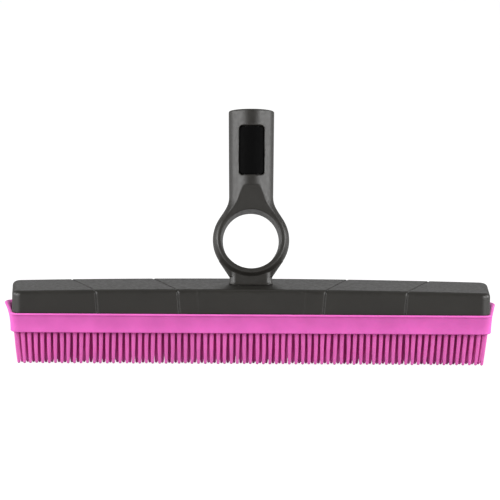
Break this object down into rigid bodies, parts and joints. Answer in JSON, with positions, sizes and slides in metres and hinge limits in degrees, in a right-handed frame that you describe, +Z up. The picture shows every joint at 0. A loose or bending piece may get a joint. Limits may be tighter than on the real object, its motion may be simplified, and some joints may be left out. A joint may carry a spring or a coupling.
{
  "type": "rubber broom head",
  "caption": "Long rubber-bristled carpet broom head with a flared squeegee lip and a leaning neck that has a hanging ring and a pole socket with a rocker latch.",
  "frame": {"origin": "on the floor plane of the bristle tips, under the middle of the whole object's box", "axes": "+X along the head to the right seen from the front, -Y the front with the latch button, +Z up; the neck leans towards +Y"},
  "size_m": [0.326, 0.0712, 0.1656],
  "materials": {
    "pink_rubber": "satin pink thermoplastic rubber",
    "cover_plastic": "fine-grained dark warm grey moulding",
    "neck_plastic": "satin mid warm grey moulding",
    "button_plastic": "matt black moulding",
    "core_plastic": "plain black moulding",
    "spring_steel": "spring strip",
    "screw_steel": "zinc-plated"
  },
  "bodies": {
    "head": {"rubber_brush": "pink_rubber", "core_plate": "core_plastic", "head_cover": "cover_plastic", "neck": "neck_plastic", "button_spring": "spring_steel", "plate_screw_1": "screw_steel", "plate_screw_2": "screw_steel", "plate_screw_3": "screw_steel", "plate_screw_4": "screw_steel", "plate_screw_5": "screw_steel", "plate_screw_6": "screw_steel", "neck_screw_left": "screw_steel", "neck_screw_right": "screw_steel"},
    "button": {"release_button": "button_plastic"}
  },
  "joints": [
    {"name": "button_rock", "type": "hinge", "parent": "head", "child": "button", "pos_m": [0, 0.00541, 0.14262], "axis": [-1, 0, 0], "range_deg": [0, 7], "stiffness_Nm_per_rad": 0.5, "springref_deg": -1.72, "deforming": ["button_spring"]}
  ]
}
